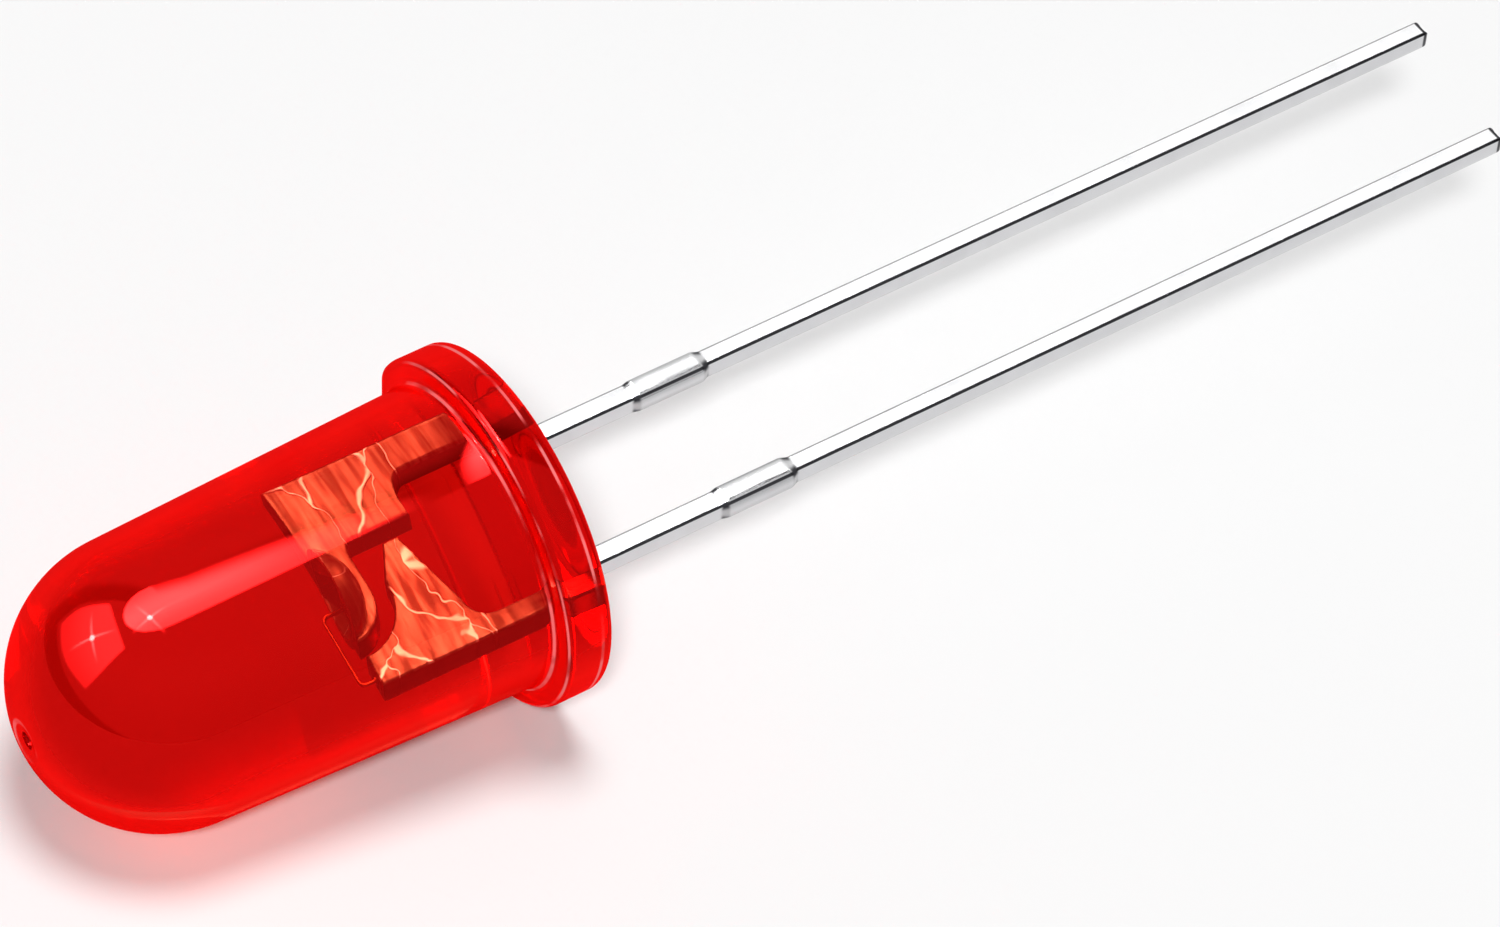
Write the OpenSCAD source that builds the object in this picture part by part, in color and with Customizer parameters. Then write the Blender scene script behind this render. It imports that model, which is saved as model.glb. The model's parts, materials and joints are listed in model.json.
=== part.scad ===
// Indicator diode in a clear tinted 5 mm resin case, with two stamped leads.
// It lies on its side, on the rim of its flange and the shoulder of its dome.
// Each piece is drawn upright, with its seating face at z = 0 and its optical
// axis along +Z, and is then laid down into the row's frame.

/* [Case] */
// Diameter of the case where it meets the flange
body_d = 5; // [4.8:0.05:5]
// Height from the seating face to the top of the dome
body_h = 8.5; // [8:0.1:10.5]
// Diameter of the round dome, smaller than the case by the mould's draft
dome_d = 4.62; // [4.5:0.02:4.74]
// Radius of the fillet between the case and its flange
base_fillet = 0.15; // [0.08:0.01:0.2]

/* [Flange] */
// Diameter of the flange
flange_d = 5.8; // [5.7:0.05:6.2]
// Thickness of the flange
flange_t = 0.8; // [0.6:0.05:1.2]
// Radius on both edges of the flange
flange_round = 0.12; // [0.06:0.01:0.15]
// Distance from the axis to the flat that marks the cathode
cathode_flat = 2.55; // [2.52:0.01:2.7]

/* [Moulding mark] */
// Diameter of the shallow dish on top of the dome
dish_d = 0.66; // [0.5:0.02:0.9]
// Depth of the dish below the top of the dome
dish_depth = 0.07; // [0.05:0.01:0.12]
// Radius of the round pit in the middle of the dish
pit_r = 0.14; // [0.1:0.01:0.18]

/* [Leads] */
// Distance between the two leads
pitch = 2.54; // [2.3:0.02:2.7]
// Thickness of the stamped sheet
sheet_t = 0.34; // [0.28:0.02:0.44]
// Width of a lead beyond its stand-off
lead_w = 0.32; // [0.26:0.02:0.42]
// Width of a lead between the case and its stand-off
root_w = 0.36; // [0.3:0.02:0.44]
// Distance that the sheet lies behind the optical axis
frame_back = 0.25; // [0.2:0.01:0.3]
// Length of the cathode lead below the seating face
cathode_len = 18.4; // [10:0.1:27]
// Length of the anode lead below the seating face
anode_len = 18; // [10:0.1:27]
// Chamfer round the cut end of a lead
tip_chamfer = 0.05; // [0.02:0.01:0.08]

/* [Stand-offs] */
// Distance from the seating face to a stand-off
standoff_drop = 2.85; // [2:0.05:4]
// Length of a stand-off
standoff_len = 1.45; // [1:0.05:2]
// Width of a stand-off
standoff_w = 0.47; // [0.46:0.01:0.7]
// Thickness of a stand-off
standoff_t = 0.42; // [0.42:0.01:0.55]
// Length of the slope at each end of a stand-off
standoff_slope = 0.14; // [0.08:0.01:0.25]

/* [Anvil and post] */
// Height of the anvil and the post above the seating face
frame_h = 3.4; // [3.1:0.05:4]
// Height at which both legs widen
shoulder_h = 1.62; // [1.3:0.02:1.9]
// Radius of the anvil's round head, which carries the cup
head_r = 0.62; // [0.58:0.01:0.66]
// Gap between the anvil and the post
frame_gap = 0.25; // [0.18:0.01:0.3]
// Distance that the post's tip reaches past the optical axis
tip_reach = 0.44; // [0.3:0.01:0.46]
// Height of the post's sloping lower edge, from its leg to its tip
fin_rise = 0.36; // [0.2:0.01:0.45]
// Length of the post's blunt tip
tip_len = 0.26; // [0.15:0.01:0.3]
// Radius of the inside corner of the anvil's leg
anvil_fillet = 0.28; // [0.15:0.01:0.35]
// Radius of the inside corner under the anvil's head
neck_fillet = 0.14; // [0.08:0.01:0.2]
// Radius of the inside corner of the post's leg
post_fillet = 0.42; // [0.2:0.01:0.45]

/* [Cup and die] */
// Diameter of the reflector cup at its rim
cup_d = 1; // [0.9:0.02:1.04]
// Diameter of the reflector cup's floor
cup_floor_d = 0.5; // [0.46:0.02:0.56]
// Depth of the reflector cup
cup_depth = 0.3; // [0.24:0.01:0.34]
// Width of the reflector cup's rim
cup_rim = 0.09; // [0.06:0.01:0.1]
// Height of the round bowl that the strip is pressed into round the cup
bowl_h = 0.45; // [0.43:0.01:0.5]
// Width of the square die
die_w = 0.28; // [0.2:0.01:0.32]
// Thickness of the die
die_t = 0.12; // [0.08:0.01:0.16]
// Thickness of the conductive glue under the die
glue_t = 0.02; // [0.01:0.005:0.04]
// Diameter of the bond wire
wire_d = 0.05; // [0.03:0.005:0.06]
// Height of the bond wire's loop above the anvil and the post
loop_h = 0.25; // [0.18:0.01:0.4]
// Radius of the bond wire's bends
bend_r = 0.1; // [0.06:0.01:0.14]
// Diameter of the bond wire's two feet
foot_d = 0.1; // [0.08:0.01:0.14]
// Thickness of the bond wire's two feet
foot_t = 0.03; // [0.02:0.005:0.05]

/* [Hidden] */
$fn = 96;
// Overlap that joins shapes into one solid
joint = 0.01;

body_r = body_d / 2;
flange_r = flange_d / 2;
dome_r = dome_d / 2;
dome_z = body_h - dome_r;

// The drafted wall is the line from the flange that just touches the dome
wall_rise = dome_z - flange_t;
draft = atan(body_r / wall_rise) - asin(dome_r / norm([wall_rise, body_r]));
touch_z = dome_z + dome_r * sin(draft);
touch_r = dome_r * cos(draft);

// Shallow dish on the dome: a sphere through the dish's rim and its lowest point
dish_r = dish_d / 2;
dish_rim_z = dome_z + sqrt(dome_r * dome_r - dish_r * dish_r);
dish_sag = dish_rim_z - (body_h - dish_depth);
dish_ball = (dish_r * dish_r + dish_sag * dish_sag) / (2 * dish_sag);

// The diode lies on the line that touches the flange's round and the dome
edge_rise = dome_z - flange_t + flange_round;
edge_r = flange_r - flange_round;
lean = atan(edge_r / edge_rise)
     - asin((dome_r - flange_round) / norm([edge_rise, edge_r]));
axis_up = dome_z * sin(lean) + dome_r;
dish_turn = asin(dish_r / dome_r);
front_y = -dome_z * cos(lean) - dome_r * cos(max(dish_turn - lean, 0));
tip_rise = frame_back + sheet_t / 2 - tip_chamfer;
back_y = max(cathode_len, anode_len) * cos(lean) + tip_rise * sin(lean);
centre_x = (flange_r - cathode_flat) / 2;

sheet_y = -frame_back;
lead_x = pitch / 2;
outer_x = lead_x + root_w / 2;
inner_x = lead_x - root_w / 2;
arc_r = head_r + frame_gap;
arc_low = frame_h - arc_r;
fin_z = shoulder_h + fin_rise;
bowl_r = cup_d / 2 + cup_rim;
bowl_ball = (bowl_r * bowl_r + bowl_h * bowl_h) / (2 * bowl_h);
cup_floor_z = frame_h - cup_depth;
die_z = cup_floor_z + glue_t;
die_top = die_z + die_t;
foot_x = (arc_r + outer_x) / 2;
loop_top = frame_h + loop_h;

// Turns an upright piece onto its side and sets it on the surface, with the
// middle of its footprint at the origin
module lie_down() {
    translate([-centre_x, -(front_y + back_y) / 2, axis_up])
        rotate([90 + lean, 0, 0])
            children();
}

// Extrudes an outline in x and z through the sheet's thickness
module sheet(t = sheet_t) {
    translate([0, sheet_y + t / 2, 0])
        rotate([90, 0, 0])
            linear_extrude(t) children();
}

// Solid fillet for an inside corner at the origin, filling the -x, -y side
module corner_fill(r) {
    difference() {
        translate([-joint, -joint]) square(r + joint);
        translate([r, r]) circle(r);
    }
}

// Half widths of a lead at each height, from its root down to its cut end
function lead_steps(root, pad, shank, len) = [
    [joint, root / 2],
    [-standoff_drop, root / 2],
    [-standoff_drop - standoff_slope, pad / 2],
    [-standoff_drop - standoff_len + standoff_slope, pad / 2],
    [-standoff_drop - standoff_len, shank / 2],
    [-len + tip_chamfer, shank / 2],
    [-len, shank / 2 - tip_chamfer]
];

// Outline of a lead, mirrored about its centre line
module lead_outline(steps, middle) {
    last = len(steps) - 1;
    polygon([
        for (s = steps) [middle + s[1], s[0]],
        for (i = [last:-1:0]) [middle - steps[i][1], steps[i][0]]
    ]);
}

// One lead below the case: its front outline crossed with its side outline
module lead(middle, len) {
    intersection() {
        translate([0, sheet_y + standoff_t, 0])
            rotate([90, 0, 0])
                linear_extrude(2 * standoff_t)
                    lead_outline(lead_steps(root_w, standoff_w, lead_w, len), middle);
        translate([middle - standoff_w, 0, 0])
            rotate([90, 0, 90])
                linear_extrude(2 * standoff_w)
                    lead_outline(lead_steps(sheet_t, standoff_t, sheet_t, len), sheet_y);
    }
}

// Anvil: a leg, a wide body and a head whose free end is a quarter circle
module anvil_outline() {
    translate([-outer_x, 0]) square([root_w, shoulder_h + joint]);
    translate([-outer_x, shoulder_h]) square([outer_x - head_r, frame_h - shoulder_h]);
    translate([-head_r - joint, frame_h - head_r]) square([head_r + joint, head_r]);
    intersection() {
        translate([0, frame_h]) circle(head_r);
        translate([-joint, frame_h - head_r]) square([head_r + joint, head_r]);
    }
    translate([-inner_x, shoulder_h]) mirror([0, 1]) corner_fill(anvil_fillet);
    translate([-head_r, frame_h - head_r]) mirror([0, 1]) corner_fill(neck_fillet);
}

// Post: a leg and a fin whose upper edge runs round the anvil's head
module post_outline() {
    difference() {
        union() {
            translate([inner_x, 0]) square([root_w, frame_h]);
            polygon([
                [outer_x, shoulder_h],
                [outer_x, frame_h],
                [0, frame_h],
                [0, arc_low],
                [-tip_reach, fin_z + tip_len],
                [-tip_reach, fin_z],
                [inner_x - post_fillet, shoulder_h]
            ]);
            translate([inner_x, shoulder_h]) mirror([1, 1]) corner_fill(post_fillet);
        }
        translate([0, frame_h]) circle(arc_r);
    }
}

// Round bowl on the cup's axis, cut off level with the cup's rim
module bowl() {
    translate([0, sheet_y, frame_h]) difference() {
        translate([0, 0, bowl_ball - bowl_h]) sphere(bowl_ball);
        translate([-bowl_ball, -bowl_ball, 0]) cube(2 * bowl_ball);
    }
}

module cathode_solid() {
    difference() {
        union() {
            sheet() anvil_outline();
            lead(-lead_x, cathode_len);
            bowl();
        }
        translate([0, sheet_y, cup_floor_z])
            cylinder(h = cup_depth, d1 = cup_floor_d, d2 = cup_d);
    }
}

module anode_solid() {
    sheet() post_outline();
    lead(lead_x, anode_len);
}

module die_solid() {
    translate([-die_w / 2, sheet_y - die_w / 2, die_z]) cube([die_w, die_w, die_t]);
}

module glue_solid() {
    translate([0, sheet_y, cup_floor_z]) cylinder(h = glue_t, d = norm([die_w, die_w]));
}

// A quarter bend of the wire, from straight up at the origin to along +x
module wire_bend() {
    translate([bend_r, 0, 0])
        rotate([90, 0, 0])
            rotate([0, 0, 90])
                rotate_extrude(angle = 90)
                    translate([bend_r, 0]) circle(d = wire_d);
}

// Upright stretch of wire with its flattened foot, and the bend above it
module wire_leg(low) {
    cylinder(h = foot_t, d = foot_d);
    cylinder(h = loop_top - bend_r - low, d = wire_d);
    translate([0, 0, loop_top - bend_r - low]) wire_bend();
}

module wire_solid() {
    translate([0, sheet_y, die_top]) wire_leg(die_top);
    translate([foot_x, sheet_y, frame_h]) mirror([1, 0, 0]) wire_leg(frame_h);
    translate([bend_r, sheet_y, loop_top])
        rotate([0, 90, 0]) cylinder(h = foot_x - 2 * bend_r, d = wire_d);
}

module flange_solid() {
    rotate_extrude() {
        square([edge_r, flange_t]);
        translate([0, flange_round]) square([flange_r, flange_t - 2 * flange_round]);
        for (z = [flange_round, flange_t - flange_round])
            translate([edge_r, z]) circle(flange_round);
    }
}

module case_outside() {
    difference() {
        union() {
            flange_solid();
            translate([0, 0, flange_t - joint])
                cylinder(h = joint, r = body_r);
            translate([0, 0, flange_t])
                cylinder(h = touch_z - flange_t, r1 = body_r, r2 = touch_r);
            translate([0, 0, flange_t])
                rotate_extrude() translate([body_r - joint, 0]) corner_fill(base_fillet);
        }
        translate([-cathode_flat - flange_r, -flange_r, -joint])
            cube([flange_r, flange_d, flange_t + base_fillet + joint]);
    }
    difference() {
        translate([0, 0, dome_z]) sphere(dome_r);
        translate([-body_r, -body_r, dome_z - dome_r]) cube([body_d, body_d, touch_z - dome_z + dome_r]);
        translate([0, 0, body_h - dish_depth + dish_ball]) sphere(dish_ball);
        translate([0, 0, body_h - dish_depth]) sphere(pit_r);
    }
}

module epoxy_case() {
    color([0.86, 0.02, 0.02, 0.6]) lie_down() difference() {
        case_outside();
        cathode_solid();
        anode_solid();
        die_solid();
        glue_solid();
        wire_solid();
    }
}

module cathode_lead() {
    color("silver") lie_down() cathode_solid();
}

module anode_lead() {
    color("silver") lie_down() anode_solid();
}

module led_die() {
    color([0.45, 0.2, 0.16]) lie_down() die_solid();
}

module die_attach() {
    color([0.66, 0.66, 0.68]) lie_down() glue_solid();
}

module bond_wire() {
    color("gold") lie_down() wire_solid();
}

epoxy_case();
cathode_lead();
anode_lead();
led_die();
die_attach();
bond_wire();
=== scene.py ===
import json
import math

import bmesh
import bpy
import numpy as np
from mathutils import Matrix, Vector


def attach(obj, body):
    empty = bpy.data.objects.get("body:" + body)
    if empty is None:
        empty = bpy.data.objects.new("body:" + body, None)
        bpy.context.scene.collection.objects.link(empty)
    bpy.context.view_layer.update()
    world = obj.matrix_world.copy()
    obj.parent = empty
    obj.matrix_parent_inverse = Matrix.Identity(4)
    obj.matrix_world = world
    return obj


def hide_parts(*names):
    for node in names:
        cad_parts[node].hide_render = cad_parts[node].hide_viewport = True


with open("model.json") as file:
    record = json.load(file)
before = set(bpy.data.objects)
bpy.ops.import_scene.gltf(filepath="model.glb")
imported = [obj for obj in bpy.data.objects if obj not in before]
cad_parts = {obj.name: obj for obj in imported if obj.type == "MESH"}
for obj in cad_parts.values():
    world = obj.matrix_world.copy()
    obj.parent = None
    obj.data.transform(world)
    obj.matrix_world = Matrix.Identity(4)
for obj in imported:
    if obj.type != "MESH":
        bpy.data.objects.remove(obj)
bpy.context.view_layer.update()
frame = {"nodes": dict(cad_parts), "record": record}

# ---------------------------------------------------------------------------------------------
# The two leads, stamped from one tinned steel strip. Tie bars sheared off after casting leave a
# pressed stand-off on each lead. The cathode lead ends in the anvil, with the cup pressed up out
# of it, and the anode lead ends in the post.
# ---------------------------------------------------------------------------------------------
# Sizes are in millimetres along the diode's own axes: x from the cathode to the anode lead,
# y out of the strip's front face, and z along the optical axis from the seating face.
rim_mount = next(m for m in frame["record"]["mounts"] if m["name"] == "collar_rim")
to_dome = np.array(rim_mount["axis"])
to_anode = np.array([1.0, 0.0, 0.0])
to_front = np.cross(to_dome, to_anode)
collar_t = 0.8
seat_centre = np.array(rim_mount["pos_m"]) - to_dome * collar_t / 2 / 1000

pitch = 2.54
sheet_t = 0.34
lead_w = 0.32
root_w = 0.36
frame_back = 0.25
cathode_len = 18.4
anode_len = 18.0
standoff_start = 2.85
standoff_end = 4.3
standoff_slope = 0.16
standoff_w = 0.47
standoff_t = 0.42
edge_round = 0.05
standoff_round = 0.15
tip_round = 0.09
frame_h = 3.4
shoulder_h = 1.62
head_r = 0.62
neck_round = 0.14
anvil_round = 0.28
post_round = 0.42
frame_gap = 0.25
tip_reach = 0.44
fin_z = 1.98
tip_len = 0.26
cup_r = 0.5
cup_floor_r = 0.25
cup_depth = 0.3
cup_rim = 0.09
bowl_h = 0.45
round_steps = 7
cup_facets = 96

lead_x = pitch / 2
outer_x = lead_x + root_w / 2
inner_x = lead_x - root_w / 2


def lay_down(points):
    """Row coordinates in metres: the seating centre plus x, y and z along the diode's own axes."""
    axes = np.stack([to_anode, to_front, to_dome])
    return seat_centre + np.asarray(points) @ axes / 1000


def closed(points, faces):
    """A clean closed mesh in millimetres, its doubles merged and its faces turned outwards."""
    blank = bpy.data.meshes.new("blank")
    blank.from_pydata(points.tolist(), [], faces)
    work = bmesh.new()
    work.from_mesh(blank)
    bpy.data.meshes.remove(blank)
    tidy(work)
    return work


def tidy(work):
    """Merges doubled points, drops faces without area and turns the rest outwards."""
    bmesh.ops.remove_doubles(work, verts=work.verts, dist=1e-5)
    bmesh.ops.dissolve_degenerate(work, edges=work.edges, dist=1e-5)
    bmesh.ops.recalc_face_normals(work, faces=work.faces)


def add_piece(name, work, crease):
    """A piece laid down in the row's frame, smooth except where faces meet past the crease."""
    mesh = bpy.data.meshes.new(name)
    work.to_mesh(mesh)
    work.free()
    place = np.zeros(len(mesh.vertices) * 3, np.float32)
    mesh.vertices.foreach_get("co", place)
    mesh.vertices.foreach_set("co", lay_down(place.reshape(-1, 3)).ravel())
    mesh.shade_smooth()
    mesh.set_sharp_from_angle(angle=math.radians(crease))
    piece = bpy.data.objects.new(name, mesh)
    bpy.context.collection.objects.link(piece)
    return piece


def ease(value, start, end):
    """Rises smoothly from 0 at start to 1 at end, as 3s^2 - 2s^3 of the share s between them."""
    share = np.clip((value - start) / (end - start), 0, 1)
    return share * share * (3 - 2 * share)


def on_standoff(down):
    """1 on the stand-off and 0 off it, with a smooth slope at each end."""
    rise = ease(down, standoff_start, standoff_start + standoff_slope)
    return rise * (1 - ease(down, standoff_end - standoff_slope, standoff_end))


def half_width(down):
    """Half the lead's width, at a distance below the seating face."""
    plain = np.where(down < (standoff_start + standoff_end) / 2, root_w, lead_w)
    return (plain + (standoff_w - plain) * on_standoff(down)) / 2


def half_thickness(down):
    """Half the strip's thickness, at a distance below the seating face."""
    return (sheet_t + (standoff_t - sheet_t) * on_standoff(down)) / 2


def edge_radius(down):
    """Radius of the long edges: small on the shank and large on the pressed stand-off."""
    return edge_round + (standoff_round - edge_round) * on_standoff(down)


def arc(centre, radius, start, end, steps=14):
    """Points x = cx + R cos a, y = cy + R sin a, from one angle a in degrees to another."""
    turn = np.radians(np.linspace(start, end, steps))
    return np.stack([centre[0] + radius * np.cos(turn), centre[1] + radius * np.sin(turn)], 1)


def stations(length):
    """Distances below the seating face, close together where the section changes. The last ones
    are length - R(1 - sin b), for angles b from 0 to 90 degrees round the tip."""
    slopes = [np.linspace(s - 0.02, s + standoff_slope + 0.02, 9)
              for s in (standoff_start, standoff_end - standoff_slope)]
    tip = length - tip_round * (1 - np.sin(np.radians(np.linspace(0, 90, round_steps))))
    return np.concatenate([[0.0, 1.4], slopes[0], slopes[1],
                           np.linspace(standoff_end + 0.4, length - 0.3, 24), tip])


def stamped(side, length, head):
    """One lead: its outline runs up the inner side, round the head and down the outer side. The
    outline moves inwards by r(1 - cos a) while its height above the strip's middle goes from
    t - r to t by r sin a, so both long edges are round, and the end is rounded over in the same
    way: the last stations move in by R(1 - cos b) and down by R sin b."""
    down = stations(length)
    count = len(down)
    turn = np.radians(np.linspace(0, 90, round_steps))
    narrow = np.zeros(count)
    narrow[-round_steps:] = tip_round * (1 - np.cos(turn))
    outer = np.stack([side * (lead_x + half_width(down) - narrow), -down], 1)
    inner = np.stack([side * (lead_x - half_width(down) + narrow), -down], 1)
    outline = np.concatenate([inner[::-1], head, outer])
    along = np.roll(outline, -1, axis=0) - outline
    before = outline - np.roll(outline, 1, axis=0)
    normal, normal_before = (np.stack([d[:, 1], -d[:, 0]], 1) / np.linalg.norm(d, axis=1)[:, None]
                             for d in (along, before))
    mitre = normal + normal_before
    mitre = mitre / np.maximum((mitre * normal).sum(1), 0.5)[:, None]
    area = np.sum(outline[:, 0] * np.roll(outline[:, 1], -1)
                  - np.roll(outline[:, 0], -1) * outline[:, 1])
    mitre = mitre * np.sign(area)
    depth = -outline[:, 1]
    thin = np.concatenate([narrow[::-1], np.zeros(len(head)), narrow])
    radius = edge_radius(depth)
    thick = half_thickness(depth) - thin
    levels = []
    for angle in turn:
        flat = outline - mitre * (radius * (1 - np.cos(angle)))[:, None]
        levels.append((flat, thick - radius + radius * np.sin(angle)))
    levels = [(flat, -height) for flat, height in reversed(levels)] + levels
    points = np.concatenate([
        np.stack([flat[:, 0], height - frame_back, flat[:, 1]], 1) for flat, height in levels])
    around = len(outline)
    here = np.arange(around)
    there = (here + 1) % around
    walls = [np.stack([here, there, there + around, here + around], 1) + k * around
             for k in range(len(levels) - 1)]
    faces = np.concatenate(walls).tolist()
    inside = np.arange(count)
    opposite = around - 1 - inside
    rungs = np.stack([inside[:-1], inside[1:], opposite[1:], opposite[:-1]], 1)
    top = np.arange(count - 1, around - count + 1)
    for base in (0, (len(levels) - 1) * around):
        faces += (rungs + base).tolist()
        faces.append((top + base).tolist())
    return closed(points, faces)


def anvil_head():
    """The anvil's outline: shoulder, narrow neck, round head on the optical axis, outer corner."""
    corner = frame_h - head_r
    return np.concatenate([
        arc((-inner_x + anvil_round, shoulder_h - anvil_round), anvil_round, 180, 90),
        [[-head_r, shoulder_h]],
        arc((-head_r + neck_round, corner - neck_round), neck_round, 180, 90, 8),
        arc((0, frame_h), head_r, 270, 360),
        [[-outer_x, frame_h]],
    ])


def post_head():
    """The post's outline: a foot that reaches under the anvil, and a fin round the anvil's head."""
    return np.concatenate([
        arc((inner_x - post_round, shoulder_h - post_round), post_round, 0, 90),
        [[-tip_reach, fin_z], [-tip_reach, fin_z + tip_len]],
        arc((0, frame_h), head_r + frame_gap, 270, 360, 24),
        [[outer_x, frame_h]],
    ])


def turned(profile, around):
    """A profile of radius and height turned about the optical axis: x = r cos a, y = r sin a."""
    turn = np.linspace(0, 2 * np.pi, around, endpoint=False)
    r, z = profile[:, 0][:, None], profile[:, 1][:, None] * np.ones(around)
    grid = np.stack([r * np.cos(turn), r * np.sin(turn), z], 2)
    index = np.arange(len(profile) * around).reshape(-1, around)
    ahead = np.roll(index, -1, axis=1)
    faces = np.stack([index[:-1], index[1:], ahead[1:], ahead[:-1]], 2).reshape(-1, 4)
    return grid.reshape(-1, 3), faces.tolist()


def joined(work, tool, operation):
    """The work with the tool's volume added to it or taken away."""
    holders = []
    for part in (work, tool):
        mesh = bpy.data.meshes.new("blank")
        part.to_mesh(mesh)
        part.free()
        holders.append(bpy.data.objects.new("blank", mesh))
        bpy.context.collection.objects.link(holders[-1])
    change = holders[0].modifiers.new("press", "BOOLEAN")
    change.operation = operation
    change.solver = "EXACT"
    change.object = holders[1]
    bpy.context.view_layer.update()
    result = bmesh.new()
    result.from_object(holders[0], bpy.context.evaluated_depsgraph_get())
    for holder in holders:
        bpy.data.meshes.remove(holder.data)
    tidy(result)
    return result


# the bowl is the cap of a ball cut level with the rim, and the cup is a cone let into it
rim_r = cup_r + cup_rim
bowl_ball = (rim_r**2 + bowl_h**2) / (2 * bowl_h)
ball_z = frame_h - bowl_h + bowl_ball
cap_turn = math.degrees(math.asin(rim_r / bowl_ball))
bowl = np.concatenate([[[0, frame_h]], [[rim_r, frame_h]],
                       arc((0, ball_z), bowl_ball, -90 + cap_turn, -90, 12)])
bowl[-1, 0] = 0
over = 0.1
wall_slope = (cup_r - cup_floor_r) / cup_depth
cup = np.array([[0, frame_h - cup_depth], [cup_floor_r, frame_h - cup_depth],
                [cup_r + over * wall_slope, frame_h + over], [0, frame_h + over]])
cathode = stamped(-1, cathode_len, anvil_head())
cathode = joined(cathode, closed(*turned(bowl, cup_facets)), "UNION")
cathode = joined(cathode, closed(*turned(cup, cup_facets)), "DIFFERENCE")
cathode = add_piece("cathode_lead_tinned", cathode, crease=35)
anode = add_piece("anode_lead_tinned", stamped(1, anode_len, post_head()), crease=35)


def finish(name):
    """A new material, its node tree and its main shader node."""
    material = bpy.data.materials.new(name)
    material.use_nodes = True
    return material, material.node_tree, material.node_tree.nodes["Principled BSDF"]


def join(tree, value, socket):
    """Feeds a socket from another node's output, or sets it to a plain value."""
    if isinstance(value, bpy.types.NodeSocket):
        tree.links.new(value, socket)
    else:
        socket.default_value = value


def number(tree, operation, *values):
    """A math node on numbers and sockets."""
    node = tree.nodes.new("ShaderNodeMath")
    node.operation = operation
    for socket, value in zip(node.inputs, values):
        join(tree, value, socket)
    return node.outputs[0]


def span(tree, first, second):
    """The square root of the sum of two squares."""
    squares = [number(tree, "MULTIPLY", value, value) for value in (first, second)]
    return number(tree, "SQRT", number(tree, "ADD", *squares))


def parts(tree, point):
    """The three numbers of a vector."""
    node = tree.nodes.new("ShaderNodeSeparateXYZ")
    tree.links.new(point, node.inputs[0])
    return node.outputs


def ramp(tree, value, low, high, bottom=0.0, top=1.0):
    """Goes smoothly from bottom to top as the value goes from low to high."""
    node = tree.nodes.new("ShaderNodeMapRange")
    node.interpolation_type = "SMOOTHSTEP"
    for socket, setting in zip(node.inputs, (value, low, high, bottom, top)):
        join(tree, setting, socket)
    return node.outputs[0]


def near(tree, value, middle, low, high):
    """1 where the value is closer than low to the middle, falling smoothly to 0 at high."""
    off = number(tree, "ABSOLUTE", number(tree, "SUBTRACT", value, middle))
    return ramp(tree, off, low, high, 1.0, 0.0)


def dye(tree, share, first, second):
    """The first colour where the share is 0 and the second where it is 1."""
    node = tree.nodes.new("ShaderNodeMix")
    node.data_type = "RGBA"
    join(tree, share, node.inputs["Factor"])
    for socket, colour in zip((node.inputs[6], node.inputs[7]), (first, second)):
        join(tree, colour if isinstance(colour, bpy.types.NodeSocket) else (*colour, 1), socket)
    return node.outputs[2]


def own_axes(tree, stretch=(1, 1, 1)):
    """Object coordinates turned into millimetres along the diode's own axes, then stretched."""
    turn = Matrix((to_anode, to_front, to_dome))
    place = tree.nodes.new("ShaderNodeMapping")
    tree.links.new(tree.nodes.new("ShaderNodeTexCoord").outputs["Object"], place.inputs["Vector"])
    place.inputs["Scale"].default_value = (1000, 1000, 1000)
    place.inputs["Rotation"].default_value = turn.to_euler()
    place.inputs["Location"].default_value = turn @ Vector(-1000 * seat_centre)
    if stretch == (1, 1, 1):
        return place.outputs[0]
    pull = tree.nodes.new("ShaderNodeMapping")
    tree.links.new(place.outputs[0], pull.inputs["Vector"])
    pull.inputs["Scale"].default_value = stretch
    return pull.outputs[0]


def cloud(tree, point, scale, detail=3.0, warp=0.0):
    """Soft noise between 0 and 1, with so many lumps a millimetre."""
    node = tree.nodes.new("ShaderNodeTexNoise")
    tree.links.new(point, node.inputs["Vector"])
    node.inputs["Scale"].default_value = scale
    node.inputs["Detail"].default_value = detail
    node.inputs["Distortion"].default_value = warp
    return node.outputs[0]


def relief(tree, shader, height, depth):
    """Bumps the shader's surface by a height between 0 and 1 times a depth in millimetres."""
    node = tree.nodes.new("ShaderNodeBump")
    join(tree, height, node.inputs["Height"])
    node.inputs["Distance"].default_value = depth / 1000
    tree.links.new(node.outputs[0], shader.inputs["Normal"])


# tin plate with fine draw marks along the lead; painted dark lines along the rounded edges, a painted
# reflection of dark surroundings, painted shade at the ends of the stand-offs, and a painted dark ring
# round the sawn tips
tinned, tree, tin = finish("tinned_steel")
point = own_axes(tree)
across, out, height = parts(tree, point)
below = number(tree, "MULTIPLY", height, -1.0)
draw_marks = cloud(tree, own_axes(tree, (26, 26, 0.9)), 1.0, 2.0)
marks = cloud(tree, point, 1.6, 4.0, 0.6)
inside = ramp(tree, height, 0.05, 0.2)

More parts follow.
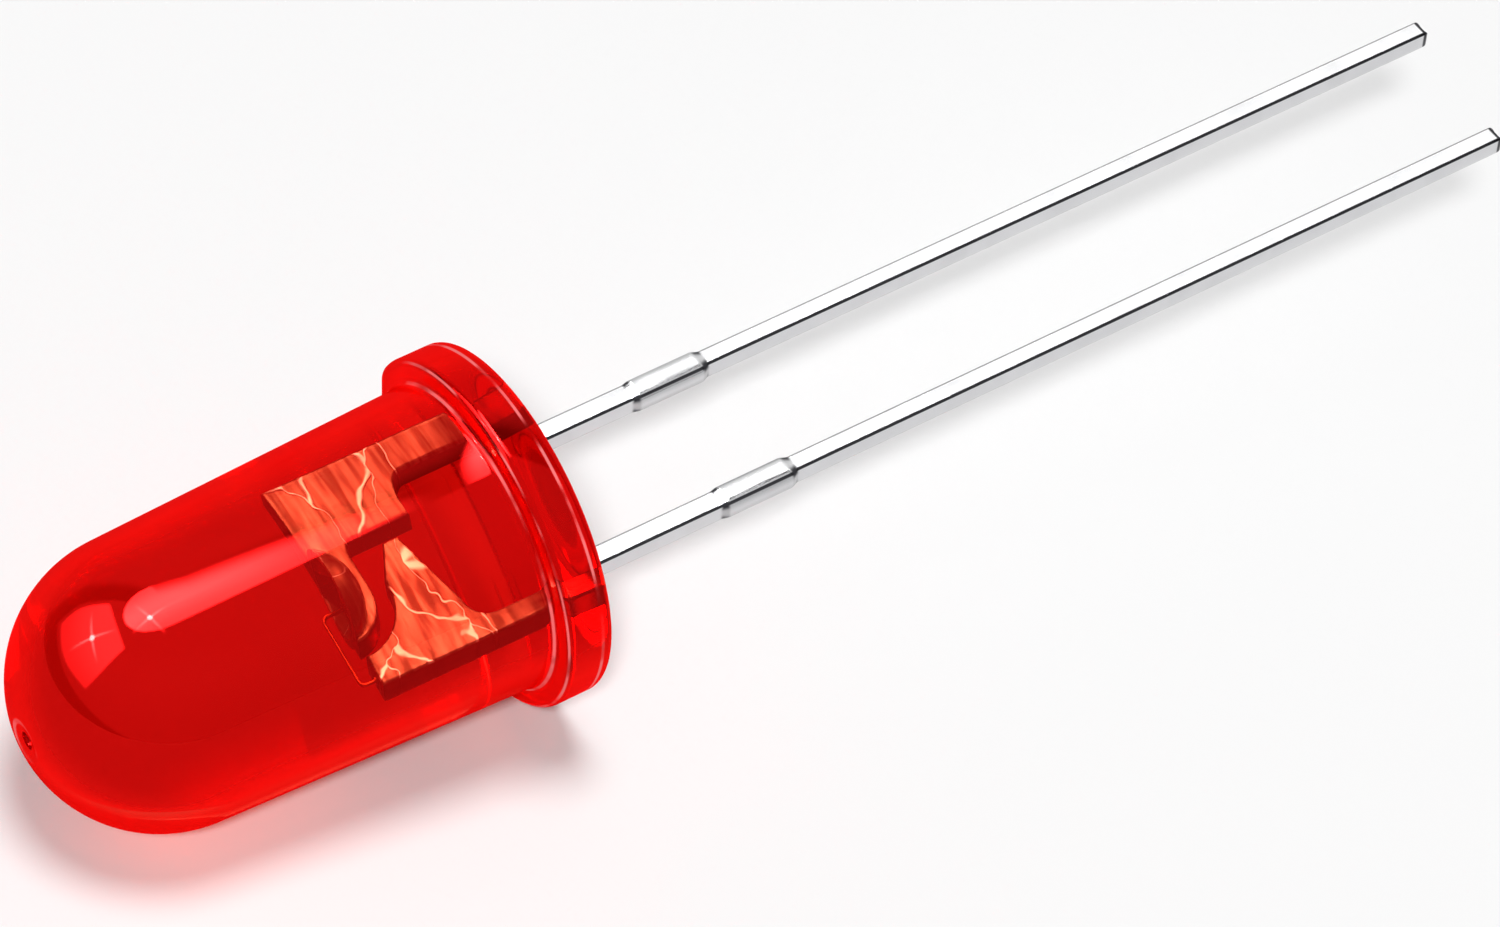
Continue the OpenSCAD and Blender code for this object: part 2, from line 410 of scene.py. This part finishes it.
# how far a point is from the lead's middle, against its half width and half thickness there
bulge = number(tree, "MULTIPLY",
               ramp(tree, below, standoff_start, standoff_start + standoff_slope),
               ramp(tree, below, standoff_end - standoff_slope, standoff_end, 1.0, 0.0))
to_side = number(tree, "ABSOLUTE", number(tree, "SUBTRACT", number(tree, "ABSOLUTE", across), lead_x))
to_face = number(tree, "ABSOLUTE", number(tree, "ADD", out, frame_back))
plain_w = ramp(tree, below, standoff_end - 0.3, standoff_end, root_w / 2, lead_w / 2)
half_w = number(tree, "MULTIPLY_ADD", bulge,
                number(tree, "SUBTRACT", standoff_w / 2, plain_w), plain_w)
half_t = number(tree, "MULTIPLY_ADD", bulge, (standoff_t - sheet_t) / 2, sheet_t / 2)
past_side = number(tree, "SUBTRACT", to_side, half_w)
past_face = number(tree, "SUBTRACT", to_face, half_t)
from_corner = number(tree, "ABSOLUTE", number(tree, "SUBTRACT", past_side, past_face))
# painted reflection: the rounded long edges are painted nearly black, standing in for the dark
# surroundings that they mirror
edge_dark_reflection = ramp(tree, from_corner, 0.03, 0.045, 1.0, 0.0)
# painted shade on the sloped ends of each stand-off, strongest near its edges
slopes = [near(tree, below, middle, 0.03, 0.09)
          for middle in (standoff_start + standoff_slope / 2, standoff_end - standoff_slope / 2)]
step_shade = number(tree, "MULTIPLY", number(tree, "MAXIMUM", *slopes),
                 ramp(tree, from_corner, 0.05, 0.15, 1.0, 0.3))
# a painted dark ring where each tip starts to round over
tip = number(tree, "MULTIPLY_ADD", number(tree, "SIGN", across), (anode_len - cathode_len) / 2,
             (cathode_len + anode_len) / 2 - tip_round)
tip_ring = near(tree, below, tip, 0.02, 0.05)
dark = number(tree, "MAXIMUM", number(tree, "MAXIMUM", edge_dark_reflection, step_shade), tip_ring)

# creases that fan out over both profiles from a point beside the neck, cells of a Voronoi pattern over
# the angle and the distance from it;
# they are bumped into the surface and painted pale, a painted highlight
fan_middle, fan_least, fan_height = -0.1, 0.7, 2.35
fan_x = number(tree, "ADD", fan_least,
               number(tree, "ABSOLUTE", number(tree, "SUBTRACT", across, fan_middle)))
fan_z = number(tree, "SUBTRACT", height, fan_height)
fan_turn = number(tree, "ARCTAN2", number(tree, "MULTIPLY", fan_x, -1.0), fan_z)
sway = number(tree, "SUBTRACT", cloud(tree, own_axes(tree, (1, 0, 1)), 1.5, 2.0), 0.5)
spread = tree.nodes.new("ShaderNodeCombineXYZ")
join(tree, number(tree, "MULTIPLY_ADD", sway, 1.2, number(tree, "MULTIPLY", fan_turn, 2.4)),
     spread.inputs[0])
join(tree, number(tree, "MULTIPLY", span(tree, fan_x, fan_z), 0.45), spread.inputs[1])
creases = tree.nodes.new("ShaderNodeTexVoronoi")
creases.feature = "DISTANCE_TO_EDGE"
creases.inputs["Scale"].default_value = 1.0
tree.links.new(spread.outputs[0], creases.inputs["Vector"])
crease_and_highlight = number(tree, "MULTIPLY", ramp(tree, creases.outputs["Distance"], 0.004, 0.020, 1.0, 0.0),
              ramp(tree, marks, 0.25, 0.55, 0.35, 1.0))
strokes = cloud(tree, own_axes(tree, (1.2, 0, 7)), 1.0, 2.0, 0.4)

# outside the case the tin is bright, with side walls and stand-off edges painted greyer, a painted
# shade; inside it the faces are dull with strokes across them, and the sheared side walls are painted
# nearly black, a painted shade
outer_tin = dye(tree, ramp(tree, marks, 0.3, 0.7), (0.88, 0.88, 0.89), (0.97, 0.97, 0.98))
# painted shade: the side walls, away from the broad faces, are painted grey
side_shade_depth = number(tree, "SUBTRACT", half_t, to_face)
outer_tin = dye(tree, ramp(tree, side_shade_depth, 0.03, 0.06, 0.0, 0.55), outer_tin, (0.40, 0.40, 0.42))
# painted shade on the stand-offs: grey towards their edges and bright along the middle, as on a rounded
# crown
pillow_shade = number(tree, "MULTIPLY", bulge, ramp(tree, from_corner, 0.06, 0.22, 0.6, 0.0))
outer_tin = dye(tree, pillow_shade, outer_tin, (0.35, 0.35, 0.36))
outer_tin = dye(tree, dark, outer_tin, (0.04, 0.04, 0.045))
face_tin = dye(tree, ramp(tree, strokes, 0.3, 0.7), (0.035, 0.03, 0.02), (0.17, 0.16, 0.12))
# painted highlight: the creases are painted pale
face_tin = dye(tree, crease_and_highlight, face_tin, (0.5, 0.7, 0.7))
# painted shade: inside the case the strip's side walls are painted nearly black
inner_tin = dye(tree, ramp(tree, to_face, 0.12, 0.15), (0.03, 0.012, 0.01), face_tin)
join(tree, dye(tree, inside, outer_tin, inner_tin), tin.inputs["Base Color"])
tin.inputs["Metallic"].default_value = 1
join(tree, number(tree, "ADD", ramp(tree, draw_marks, 0.3, 0.7, 0.13, 0.20),
                  number(tree, "MULTIPLY", inside, 0.17)), tin.inputs["Roughness"])
relief(tree, tin, number(tree, "MULTIPLY_ADD", draw_marks, 0.05,
                         number(tree, "MULTIPLY", crease_and_highlight, inside)), 0.006)
for piece, node in ((cathode, "cathode_lead"), (anode, "anode_lead")):
    piece.data.materials.append(tinned)
    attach(piece, "root")
    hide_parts(node)

# ---------------------------------------------------------------------------------------------
# The light-emitting die: a diced crystal, sawn on four sides, with a metal pad on top for the
# wire.
# ---------------------------------------------------------------------------------------------
chip, tree, shader = finish("die")
saw_marks = cloud(tree, own_axes(tree, (4, 4, 60)), 1.0, 2.0)
join(tree, dye(tree, saw_marks, (0.30, 0.10, 0.07), (0.55, 0.27, 0.17)), shader.inputs["Base Color"])
shader.inputs["Metallic"].default_value = 0.4
join(tree, ramp(tree, saw_marks, 0.2, 0.8, 0.25, 0.5), shader.inputs["Roughness"])
relief(tree, shader, saw_marks, 0.003)

# ---------------------------------------------------------------------------------------------
# The die attach: a fillet of epoxy filled with silver flakes, cured between the die and the
# cup's floor.
# ---------------------------------------------------------------------------------------------
glue, tree, shader = finish("silver_glue")
flakes = tree.nodes.new("ShaderNodeTexVoronoi")
tree.links.new(own_axes(tree), flakes.inputs["Vector"])
flakes.inputs["Scale"].default_value = 45
join(tree, dye(tree, flakes.outputs["Distance"], (0.78, 0.78, 0.80), (0.50, 0.50, 0.53)),
     shader.inputs["Base Color"])
shader.inputs["Metallic"].default_value = 0.7
join(tree, ramp(tree, flakes.outputs["Distance"], 0, 0.6, 0.35, 0.6), shader.inputs["Roughness"])
relief(tree, shader, flakes.outputs["Distance"], 0.004)

# ---------------------------------------------------------------------------------------------
# The bond wire: drawn gold, ball-bonded to the die's pad and stitched to the post's top.
# ---------------------------------------------------------------------------------------------
gold, tree, shader = finish("gold_wire")
pull_marks = cloud(tree, own_axes(tree, (9, 60, 9)), 1.0, 2.0)
join(tree, dye(tree, pull_marks, (0.20, 0.035, 0.01), (0.30, 0.06, 0.02)), shader.inputs["Base Color"])
shader.inputs["Metallic"].default_value = 1
join(tree, ramp(tree, pull_marks, 0.2, 0.8, 0.3, 0.45), shader.inputs["Roughness"])
for node, material in (("led_die", chip), ("die_attach", glue), ("bond_wire", gold)):
    part = frame["nodes"][node]
    part.data.materials.clear()
    part.data.materials.append(material)

# ---------------------------------------------------------------------------------------------
# The case: clear red epoxy, cast round the lead frame in an open mould, dome down. The collar
# was the mould's rim. The cathode's side is cast flat, and the mould's end left a dish with a pit
# in the dome.
# ---------------------------------------------------------------------------------------------
body_r = 2.5
body_h = 8.5
dome_r = 2.31
base_fillet = 0.15
collar_r = 2.9
collar_round = 0.12
cathode_flat = 2.55
dish_r = 0.33
dish_depth = 0.07
pit_r = 0.14
case_facets = 288

dome_z = body_h - dome_r
to_base = math.hypot(dome_z - collar_t, body_r)
draft = math.atan(body_r / (dome_z - collar_t)) - math.asin(dome_r / to_base)
dish_low = body_h - dish_depth
dish_edge_z = dome_z + math.sqrt(dome_r**2 - dish_r**2)
dish_sag = dish_edge_z - dish_low
dish_ball = (dish_r**2 + dish_sag**2) / (2 * dish_sag)


def case_profile():
    """Radius and height from the pit on the dome down to the middle of the seating face: arcs for
    the pit, the dish, the dome, the fillet and the collar's edges, and a straight line for the
    wall, which meets the dome at the angle of the draft."""
    dish_edge = math.degrees(math.asin(dish_r / dish_ball))
    pit_edge = math.degrees(math.asin(pit_r / dish_ball))
    dome_edge = math.degrees(math.acos(dish_r / dome_r))
    return np.concatenate([
        arc((0, dish_low + 0.01), pit_r, -90, 0, 10),
        arc((0, dish_low + dish_ball), dish_ball, -90 + pit_edge, -90 + dish_edge, 8),
        arc((0, dome_z), dome_r, dome_edge, math.degrees(draft), 64),
        np.linspace([dome_r * math.cos(draft), dome_z + dome_r * math.sin(draft)],
                    [body_r, collar_t + base_fillet], 12)[1:-1],
        arc((body_r + base_fillet, collar_t + base_fillet), base_fillet, 180, 270, 10),
        arc((collar_r - collar_round, collar_t - collar_round), collar_round, 90, 0, 9),
        arc((collar_r - collar_round, collar_round), collar_round, 0, -90, 9),
        [[0, 0]],
    ])


work = closed(*turned(case_profile(), case_facets))
cut = bmesh.ops.bisect_plane(work, geom=work.verts[:] + work.edges[:] + work.faces[:],
                             plane_co=(-cathode_flat, 0, 0), plane_no=(-1, 0, 0), clear_outer=True)
rim = [edge for edge in cut["geom_cut"] if isinstance(edge, bmesh.types.BMEdge)]
bmesh.ops.contextual_create(work, geom=rim)
tidy(work)
case = add_piece("epoxy_case_cast", work, crease=50)

# the resin shows what is behind it where its surface faces the eye, and turns cloudy towards the edges;
# pale lines painted along the mould's rims round the case and round the dish are painted highlights,
# and the pit in the dish is painted dark, a painted shade
resin_ior = 1.38
resin, tree, haze_and_glow = finish("red_resin")
surface_out = tree.nodes["Material Output"]
across, out, height = parts(tree, own_axes(tree))
wide = span(tree, across, out)
swirl = cloud(tree, own_axes(tree, (0.5, 0.5, 0.25)), 1.0, 3.0, 1.5)
# painted highlights: pale lines along both edges of the collar, the fillet above it and the dish's edge
highlight_lines = []
for line_r, line_z, line_w in ((collar_r, collar_round + 0.08, 0.035),
                               (body_r + 0.05, collar_t + 0.05, 0.04),
                               (collar_r - 0.05, collar_t - 0.03, 0.03),
                               (dish_r, dish_edge_z, 0.06)):
    away = span(tree, number(tree, "SUBTRACT", wide, line_r), number(tree, "SUBTRACT", height, line_z))
    highlight_lines.append(ramp(tree, away, line_w * 0.4, line_w, 1.0, 0.0))
rim_highlight = number(tree, "MAXIMUM", number(tree, "MAXIMUM", *highlight_lines[:2]), number(tree, "MAXIMUM", *highlight_lines[2:]))
broken = cloud(tree, own_axes(tree, (0.9, 0.9, 0.9)), 1.0, 2.0)
rim_highlight = number(tree, "MULTIPLY", rim_highlight, ramp(tree, broken, 0.38, 0.58))
# painted shade: the pit is painted nearly black
pit_shade = number(tree, "MULTIPLY", ramp(tree, wide, pit_r * 0.9, pit_r * 1.2, 1.0, 0.0),
                ramp(tree, height, dome_z, dome_z + 1))

haze_colour = dye(tree, swirl, (0.88, 0.0, 0.0), (1.0, 0.008, 0.004))
haze_colour = dye(tree, rim_highlight, haze_colour, (1.0, 0.27, 0.27))
join(tree, dye(tree, pit_shade, haze_colour, (0.06, 0.0, 0.0)), haze_and_glow.inputs["Base Color"])
haze_and_glow.inputs["Roughness"].default_value = 0.5
haze_and_glow.inputs["Specular IOR Level"].default_value = 0
# painted glow: the diffuse layer glows faintly red though it is no lamp
haze_and_glow.inputs["Emission Color"].default_value = (1.0, 0.0, 0.0, 1)
haze_and_glow.inputs["Emission Strength"].default_value = 0.05
clear = tree.nodes.new("ShaderNodeBsdfRefraction")
join(tree, dye(tree, swirl, (1.0, 0.50, 0.40), (1.0, 0.56, 0.46)), clear.inputs["Color"])
clear.inputs["Roughness"].default_value = 0
clear.inputs["IOR"].default_value = resin_ior
gloss = tree.nodes.new("ShaderNodeBsdfGlossy")
gloss.inputs["Color"].default_value = (1.0, 0.015, 0.015, 1)
gloss.inputs["Roughness"].default_value = 0.015

# from outside the gloss has a floor under its Fresnel share, and from inside it has that alone
facing = tree.nodes.new("ShaderNodeLayerWeight").outputs["Facing"]
# the diffuse layer's share: more of it towards the edges, and most on the painted highlight lines and
# the painted shade of the pit
cloudy_and_painted = number(tree, "MAXIMUM", ramp(tree, facing, 0.28, 0.66, 0.12, 0.93),
                number(tree, "MULTIPLY", rim_highlight, 0.85))
cloudy_and_painted = number(tree, "MAXIMUM", cloudy_and_painted, number(tree, "MULTIPLY", pit_shade, 0.9))
bend = tree.nodes.new("ShaderNodeFresnel")
bend.inputs["IOR"].default_value = resin_ior
share = number(tree, "MULTIPLY_ADD", bend.outputs[0], 0.5, 0.15)
share = number(tree, "MULTIPLY_ADD", number(tree, "POWER", bend.outputs[0], 8.0), 0.35, share)
within = tree.nodes.new("ShaderNodeNewGeometry").outputs["Backfacing"]
share = ramp(tree, within, 0, 1, share, bend.outputs[0])


def layered(tree, share, first, second):
    """The first shader where the share is 0 and the second where it is 1."""
    node = tree.nodes.new("ShaderNodeMixShader")
    for socket, value in zip(node.inputs, (share, first, second)):
        tree.links.new(value, socket)
    return node.outputs[0]


bulk = layered(tree, cloudy_and_painted, clear.outputs[0], haze_and_glow.outputs[0])
tree.links.new(layered(tree, share, bulk, gloss.outputs[0]), surface_out.inputs["Surface"])
depth = tree.nodes.new("ShaderNodeVolumeAbsorption")
depth.inputs["Color"].default_value = (0.97, 0.25, 0.05, 1)
depth.inputs["Density"].default_value = 270
tree.links.new(depth.outputs["Volume"], surface_out.inputs["Volume"])
case.data.materials.append(resin)
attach(case, "root")
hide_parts("epoxy_case")

# ---------------------------------------------------------------------------------------------
# The stage: a white paper floor, soft boxes that the resin and tin mirror, two lamps and
# the camera.
# ---------------------------------------------------------------------------------------------
bpy.ops.mesh.primitive_plane_add(size=4)
floor = bpy.context.object
floor.name = "floor"
white, tree, paint = finish("white_floor")
paint.inputs["Roughness"].default_value = 1
paint.inputs["Specular IOR Level"].default_value = 0
# painted light: for the rays that reach it through the resin the paper turns red and glows red,
# standing in for the red light that the resin passes onto it
glow = 0.36
through_resin = tree.nodes.new("ShaderNodeLightPath").outputs["Is Transmission Ray"]
join(tree, dye(tree, through_resin, (0.92, 0.92, 0.92), (0.40, 0.03, 0.03)),
     paint.inputs["Base Color"])
paint.inputs["Emission Color"].default_value = (1, 0.03, 0.03, 1)
join(tree, number(tree, "MULTIPLY", through_resin, glow), paint.inputs["Emission Strength"])
floor.data.materials.append(white)

world = bpy.data.worlds.new("studio")
bpy.context.scene.world = world
world.use_nodes = True
tree = world.node_tree
sky = tree.nodes["Background"]
view_dir = tree.nodes.new("ShaderNodeTexCoord").outputs["Generated"]
dx, dy, dz = parts(tree, view_dir)


def lean(direction):
    """The cosine of the angle between a ray and a direction."""
    node = tree.nodes.new("ShaderNodeVectorMath")
    node.operation = "DOT_PRODUCT"
    tree.links.new(view_dir, node.inputs[0])
    node.inputs[1].default_value = Vector(direction).normalized()
    return node.outputs["Value"]


def disc(direction, wide, soft):
    """1 within an angle of a direction and 0 outside, in degrees."""
    return ramp(tree, lean(direction), math.cos(math.radians(wide + soft)),
                math.cos(math.radians(wide - soft)))


spot_level, arm_level = 240.0, 50.0


def star(direction, reach):
    """A small bright spot with four thin arms that fade out at the given reach."""
    middle = Vector(direction).normalized()
    first = middle.cross(Vector((0.3, -0.2, 1))).normalized()
    second = middle.cross(first)
    offsets = [number(tree, "ABSOLUTE", lean(tangent))
               for tangent in (first + second * 0.4, second - first * 0.4)]
    arms = [number(tree, "MULTIPLY", ramp(tree, offsets[k], 0.0, 0.03, 1.0, 0.0),
                   ramp(tree, offsets[1 - k], 0.0, reach, 1.0, 0.0)) for k in (0, 1)]
    arms = number(tree, "MULTIPLY", number(tree, "ADD", *arms), disc(direction, 30, 5))
    arms = number(tree, "MULTIPLY", arms, arm_level)
    return number(tree, "MULTIPLY_ADD", disc(direction, 1.3, 1.3), spot_level, arms)


# a long box overhead, in a plane 1 above the diode: round at its near end, fading at its far end
box_x, box_half, box_end, box_round = -0.28, 0.33, 0.02, 0.42
fade_start, fade_end = 0.140, 0.177
box_level, core_level = 18.0, 26.0
up = number(tree, "MAXIMUM", dz, 0.02)
over_x, over_y = number(tree, "DIVIDE", dx, up), number(tree, "DIVIDE", dy, up)
side = number(tree, "DIVIDE", number(tree, "SUBTRACT", over_x, box_x), box_half)
end = number(tree, "MINIMUM", number(tree, "SUBTRACT", over_y, box_end), 0.0)
end = number(tree, "DIVIDE", end, box_round)
oval = number(tree, "ADD", number(tree, "MULTIPLY", side, side), number(tree, "MULTIPLY", end, end))
overhead = number(tree, "MULTIPLY", ramp(tree, oval, 0.90, 1.15, 1.0, 0.0),
                  ramp(tree, over_y, fade_start, fade_end, 1.0, 0.0))
core = near(tree, over_x, box_x, 0.0, 0.36)
overhead = number(tree, "MULTIPLY", overhead,
                  number(tree, "MULTIPLY_ADD", core, core_level, box_level))

# a box with straight sides beside the diode: inside the planes through each pair of corners
window_dir, top_dir = (-0.40, -0.67, 0.62), (-0.16, -0.11, 0.98)
pane = [(-0.79, -0.57, 0.23), (-0.78, -0.44, 0.44), (-0.60, -0.30, 0.75), (-0.32, -0.43, 0.85),
        (0.01, -0.54, 0.84), (0.02, -0.85, 0.53), (-0.02, -0.96, 0.27), (-0.49, -0.84, 0.23)]
window, insets = 1.0, []
for start, stop in zip(pane, pane[1:] + pane[:1]):
    inward = Vector(start).cross(Vector(stop))
    insets.append(lean(inward if inward.dot(Vector(window_dir)) > 0 else -inward))
    window = number(tree, "MULTIPLY", window, ramp(tree, insets[-1], -0.01, 0.04))
boxes = number(tree, "MULTIPLY_ADD", window, ramp(tree, dz, 0.25, 0.75, 3.0, 10.0), overhead)
boxes = number(tree, "ADD", boxes,
               number(tree, "ADD", star(window_dir, 0.35), star(top_dir, 0.3)))

# the plain walls that mirrors show round the boxes, with a dark card beside the three edges of
# the second box that have the lowest x
beside = number(tree, "MINIMUM", number(tree, "MINIMUM", insets[7], insets[0]), insets[1])
card = number(tree, "MULTIPLY", ramp(tree, beside, -0.36, -0.16),
              ramp(tree, beside, -0.06, -0.02, 1.0, 0.0))
plain = number(tree, "MULTIPLY", ramp(tree, dz, 0.1, 0.8, 0.85, 1.05),
               ramp(tree, card, 0, 1, 1.0, 0.05))
mirror = number(tree, "ADD", boxes, plain)

# what the resin shows through itself, dimmer for the light that it passes on to the floor
path = tree.nodes.new("ShaderNodeLightPath").outputs
behind_dir, behind_level = (-0.53, 0.30, 0.79), 20.0
through = number(tree, "MULTIPLY_ADD", disc(behind_dir, 30, 15), behind_level, 0.6)
through = number(tree, "MULTIPLY", through, ramp(tree, path["Diffuse Depth"], 0, 1, 1.0, 0.10))

# the sky's level: a low fill for matt surfaces, and a level of its own for every other ray
level = 0.15
for kind, value in (("Is Glossy Ray", mirror), ("Is Transmission Ray", through),
                    ("Is Camera Ray", 1.0)):
    swap = tree.nodes.new("ShaderNodeMix")
    for socket, setting in zip((swap.inputs["Factor"], swap.inputs[2], swap.inputs[3]),
                               (path[kind], level, value)):
        join(tree, setting, socket)
    level = swap.outputs[0]
sky.inputs["Color"].default_value = (1, 1, 1, 1)
join(tree, level, sky.inputs["Strength"])

case_only = bpy.data.collections.new("case_only")
case_only.objects.link(case)


def soft_lamp(name, direction, width, power):
    """A round soft lamp 1 m away, hidden from mirrored rays and from rays through the resin."""
    lamp = bpy.data.lights.new(name, "AREA")
    lamp.shape = "DISK"
    lamp.size = width
    lamp.energy = power
    holder = bpy.data.objects.new(name, lamp)
    toward = Vector(direction).normalized()
    holder.location = toward
    holder.rotation_mode = "QUATERNION"
    holder.rotation_quaternion = toward.to_track_quat("Z", "Y")
    holder.visible_glossy = False
    holder.visible_transmission = False
    bpy.context.collection.objects.link(holder)
    return holder


# only the case holds the top lamp's light back, so the leads drop one shadow and not two
top_lamp = soft_lamp("top_lamp", (0.0, 0.0, 1.0), 0.40, 5.5)
top_lamp.light_linking.blocker_collection = case_only
soft_lamp("side_lamp", (0.654, -0.61, 1.0), 0.12, 4.7)

focal_px, frame_px = 6580.4, 1500
# the camera's axes, and its place in millimetres, along the diode's own axes
camera_right = np.array([0.5455, 0.03978, -0.83717])
camera_down = np.array([0.64943, -0.65147, 0.39221])
camera_ahead = np.array([-0.52978, -0.75763, -0.38121])
camera_at = np.array([54.68, 76.76, 34.956])
lens = bpy.data.cameras.new("camera")
lens.sensor_fit = "HORIZONTAL"
lens.sensor_width = 36
lens.lens = focal_px / frame_px * 36
lens.clip_start = 0.01
lens.clip_end = 10
camera = bpy.data.objects.new("camera", lens)
axes = [(lay_down(axis) - seat_centre) * 1000 for axis in (camera_right, -camera_down, -camera_ahead)]
stand = Matrix(np.stack(axes, 1).tolist()).to_4x4()
stand.translation = Vector(lay_down(camera_at))
camera.matrix_world = stand
bpy.context.collection.objects.link(camera)
bpy.context.scene.camera = camera
bpy.context.scene.view_settings.view_transform = "Standard"
